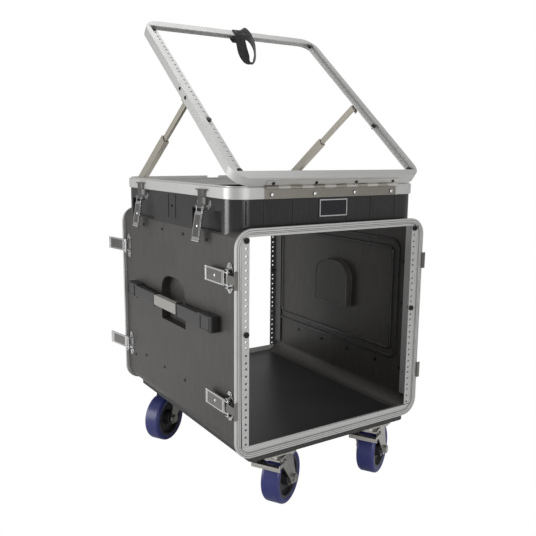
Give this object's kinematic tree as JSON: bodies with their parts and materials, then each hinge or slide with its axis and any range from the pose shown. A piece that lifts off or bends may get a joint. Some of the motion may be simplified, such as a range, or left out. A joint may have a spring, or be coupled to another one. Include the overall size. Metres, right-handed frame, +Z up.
{
  "type": "equipment rack case",
  "caption": "Black moulded rack case on swivel casters, open front and rear bay with aluminium frames, draw latches, side handles, and a tilting top rack frame held by two telescoping struts.",
  "frame": {"origin": "ground level at the middle of the outline", "axes": "+X right, +Y to the rear, +Z up, seen from the open front"},
  "size_m": [0.556, 0.681, 1.1212],
  "materials": {
    "shell_black": "moulded polyethylene with a fine leather grain, satin",
    "floor_black": "smooth moulded floor inside the bay",
    "board_black": "painted plywood base board",
    "frame_aluminium": "clear anodised extrusion, satin",
    "rail_steel": "zinc plated rack rail",
    "latch_chrome": "bright plated pressed steel",
    "hinge_steel": "warm brushed steel",
    "strut_zinc": "yellowish zinc plated steel",
    "caster_zinc": "zinc plated pressed steel",
    "bolt_black": "black oxide screws and rivets",
    "handle_black": "moulded handle bar",
    "grip_grey": "light grey soft grip",
    "tyre_navy": "navy polyurethane tread",
    "core_dark": "dark wheel core",
    "badge_dark": "plain plate",
    "webbing_black": "woven nylon webbing"
  },
  "bodies": {
    "case": {"side_left": "shell_black", "side_right": "shell_black", "floor_pan": "floor_black", "deck_strips": "shell_black", "collar": "shell_black", "front_frame": "frame_aluminium", "rear_frame": "frame_aluminium", "base_frame": "frame_aluminium", "front_rails": "rail_steel", "rear_rails": "rail_steel", "rail_bolts": "bolt_black", "handle_bars": "handle_black", "handle_grips": "grip_grey", "base_board": "board_black", "hinge_lower_leaf": "hinge_steel", "hinge_pin": "hinge_steel", "badge": "badge_dark", "strut_base_brackets": "strut_zinc", "latch_bases": "latch_chrome", "latch_claws": "latch_chrome", "panel_rivets": "bolt_black", "caster_plates": "caster_zinc", "caster_bolts": "caster_zinc"},
    "lid": {"lid_frame": "frame_aluminium", "lid_rails": "rail_steel", "lid_bolts": "bolt_black", "hinge_upper_leaf": "hinge_steel", "strut_lid_brackets": "strut_zinc", "strap": "webbing_black"},
    "strut_channel_body_left": {"strut_channel_left": "strut_zinc"},
    "strut_rod_body_left": {"strut_rod_left": "strut_zinc"},
    "strut_channel_body_right": {"strut_channel_right": "strut_zinc"},
    "strut_rod_body_right": {"strut_rod_right": "strut_zinc"},
    "caster_front_left": {"fork_front_left": "caster_zinc"},
    "wheel_front_left": {"wheel_core_front_left": "core_dark", "tyre_front_left": "tyre_navy"},
    "caster_front_right": {"fork_front_right": "caster_zinc"},
    "wheel_front_right": {"wheel_core_front_right": "core_dark", "tyre_front_right": "tyre_navy"},
    "caster_rear_left": {"fork_rear_left": "caster_zinc"},
    "wheel_rear_left": {"wheel_core_rear_left": "core_dark", "tyre_rear_left": "tyre_navy"},
    "caster_rear_right": {"fork_rear_right": "caster_zinc"},
    "wheel_rear_right": {"wheel_core_rear_right": "core_dark", "tyre_rear_right": "tyre_navy"},
    "brake_left": {"pedal_left": "caster_zinc"},
    "brake_right": {"pedal_right": "caster_zinc"},
    "latch_front_left_low": {"lever_front_left_low": "latch_chrome"},
    "latch_front_left_high": {"lever_front_left_high": "latch_chrome"},
    "latch_front_right_low": {"lever_front_right_low": "latch_chrome"},
    "latch_front_right_high": {"lever_front_right_high": "latch_chrome"},
    "latch_rear_left_low": {"lever_rear_left_low": "latch_chrome"},
    "latch_rear_left_high": {"lever_rear_left_high": "latch_chrome"},
    "latch_rear_right_low": {"lever_rear_right_low": "latch_chrome"},
    "latch_rear_right_high": {"lever_rear_right_high": "latch_chrome"},
    "latch_top_left_front": {"lever_top_left_front": "latch_chrome"},
    "latch_top_left_rear": {"lever_top_left_rear": "latch_chrome"},
    "latch_top_right_front": {"lever_top_right_front": "latch_chrome"},
    "latch_top_right_rear": {"lever_top_right_rear": "latch_chrome"}
  },
  "joints": [
    {"name": "lid_tilt", "type": "hinge", "parent": "case", "child": "lid", "pos_m": [0, -0.3207, 0.735], "axis": [1, 0, 0], "range_deg": [-38.9, 0]},
    {"name": "strut_swing_left", "type": "hinge", "parent": "case", "child": "strut_channel_body_left", "pos_m": [-0.236, 0.1955, 0.7275], "axis": [1, 0, 0], "range_deg": [0, 32.97]},
    {"name": "strut_slide_left", "type": "slide", "parent": "strut_channel_body_left", "child": "strut_rod_body_left", "axis": [0, 0.8302, -0.5575], "range_m": [0, 0.12096]},
    {"name": "strut_swing_right", "type": "hinge", "parent": "case", "child": "strut_channel_body_right", "pos_m": [0.236, 0.1955, 0.7275], "axis": [1, 0, 0], "range_deg": [0, 32.97]},
    {"name": "strut_slide_right", "type": "slide", "parent": "strut_channel_body_right", "child": "strut_rod_body_right", "axis": [0, 0.8302, -0.5575], "range_m": [0, 0.12096]},
    {"name": "swivel_front_left", "type": "hinge", "parent": "case", "child": "caster_front_left", "pos_m": [-0.136, -0.2855, 0.14], "axis": [0, 0, 1], "continuous": true},
    {"name": "spin_front_left", "type": "hinge", "parent": "caster_front_left", "child": "wheel_front_left", "pos_m": [-0.0927, -0.2605, 0.0635], "axis": [0.5, -0.866, 0], "continuous": true},
    {"name": "swivel_front_right", "type": "hinge", "parent": "case", "child": "caster_front_right", "pos_m": [0.148, -0.2855, 0.14], "axis": [0, 0, 1], "continuous": true},
    {"name": "spin_front_right", "type": "hinge", "parent": "caster_front_right", "child": "wheel_front_right", "pos_m": [0.1913, -0.2605, 0.0635], "axis": [0.5, -0.866, 0], "continuous": true},
    {"name": "swivel_rear_left", "type": "hinge", "parent": "case", "child": "caster_rear_left", "pos_m": [-0.136, 0.2265, 0.14], "axis": [0, 0, 1], "continuous": true},
    {"name": "spin_rear_left", "type": "hinge", "parent": "caster_rear_left", "child": "wheel_rear_left", "pos_m": [-0.1793, 0.2015, 0.0635], "axis": [-0.5, 0.866, 0], "continuous": true},
    {"name": "swivel_rear_right", "type": "hinge", "parent": "case", "child": "caster_rear_right", "pos_m": [0.148, 0.2265, 0.14], "axis": [0, 0, 1], "continuous": true},
    {"name": "spin_rear_right", "type": "hinge", "parent": "caster_rear_right", "child": "wheel_rear_right", "pos_m": [0.1047, 0.2015, 0.0635], "axis": [-0.5, 0.866, 0], "continuous": true},
    {"name": "brake_press_left", "type": "hinge", "parent": "caster_front_left", "child": "brake_left", "pos_m": [-0.13427, -0.2845, 0.124], "axis": [0.5, -0.866, 0], "range_deg": [0, 15]},
    {"name": "brake_press_right", "type": "hinge", "parent": "caster_front_right", "child": "brake_right", "pos_m": [0.14973, -0.2845, 0.124], "axis": [0.5, -0.866, 0], "range_deg": [0, 15]},
    {"name": "latch_turn_front_left_low", "type": "hinge", "parent": "case", "child": "latch_front_left_low", "pos_m": [-0.2615, -0.3085, 0.28], "axis": [0, 0, 1], "range_deg": [0, 100]},
    {"name": "latch_turn_front_left_high", "type": "hinge", "parent": "case", "child": "latch_front_left_high", "pos_m": [-0.2615, -0.3085, 0.5535], "axis": [0, 0, 1], "range_deg": [0, 100]},
    {"name": "latch_turn_front_right_low", "type": "hinge", "parent": "case", "child": "latch_front_right_low", "pos_m": [0.2615, -0.3085, 0.28], "axis": [0, 0, -1], "range_deg": [0, 100]},
    {"name": "latch_turn_front_right_high", "type": "hinge", "parent": "case", "child": "latch_front_right_high", "pos_m": [0.2615, -0.3085, 0.5535], "axis": [0, 0, -1], "range_deg": [0, 100]},
    {"name": "latch_turn_rear_left_low", "type": "hinge", "parent": "case", "child": "latch_rear_left_low", "pos_m": [-0.2615, 0.2495, 0.28], "axis": [0, 0, -1], "range_deg": [-170, 0]},
    {"name": "latch_turn_rear_left_high", "type": "hinge", "parent": "case", "child": "latch_rear_left_high", "pos_m": [-0.2615, 0.2495, 0.5535], "axis": [0, 0, -1], "range_deg": [-170, 0]},
    {"name": "latch_turn_rear_right_low", "type": "hinge", "parent": "case", "child": "latch_rear_right_low", "pos_m": [0.2615, 0.2495, 0.28], "axis": [0, 0, 1], "range_deg": [-170, 0]},
    {"name": "latch_turn_rear_right_high", "type": "hinge", "parent": "case", "child": "latch_rear_right_high", "pos_m": [0.2615, 0.2495, 0.5535], "axis": [0, 0, 1], "range_deg": [-170, 0]},
    {"name": "latch_turn_top_left_front", "type": "hinge", "parent": "case", "child": "latch_top_left_front", "pos_m": [-0.2615, -0.1935, 0.69], "axis": [0, 1, 0], "range_deg": [-9, 95]},
    {"name": "latch_turn_top_left_rear", "type": "hinge", "parent": "case", "child": "latch_top_left_rear", "pos_m": [-0.2615, 0.1385, 0.69], "axis": [0, 1, 0], "range_deg": [-9, 95]},
    {"name": "latch_turn_top_right_front", "type": "hinge", "parent": "case", "child": "latch_top_right_front", "pos_m": [0.2615, -0.1935, 0.69], "axis": [0, -1, 0], "range_deg": [-9, 95]},
    {"name": "latch_turn_top_right_rear", "type": "hinge", "parent": "case", "child": "latch_top_right_rear", "pos_m": [0.2615, 0.1385, 0.69], "axis": [0, -1, 0], "range_deg": [-9, 95]}
  ],
  "couplings": [
    {"joint": "strut_swing_left", "follows": "lid_tilt", "ratio": -0.84735},
    {"joint": "strut_slide_left", "follows": "lid_tilt", "m_per_rad": -0.17801},
    {"joint": "strut_swing_right", "follows": "lid_tilt", "ratio": -0.84735},
    {"joint": "strut_slide_right", "follows": "lid_tilt", "m_per_rad": -0.17801}
  ]
}
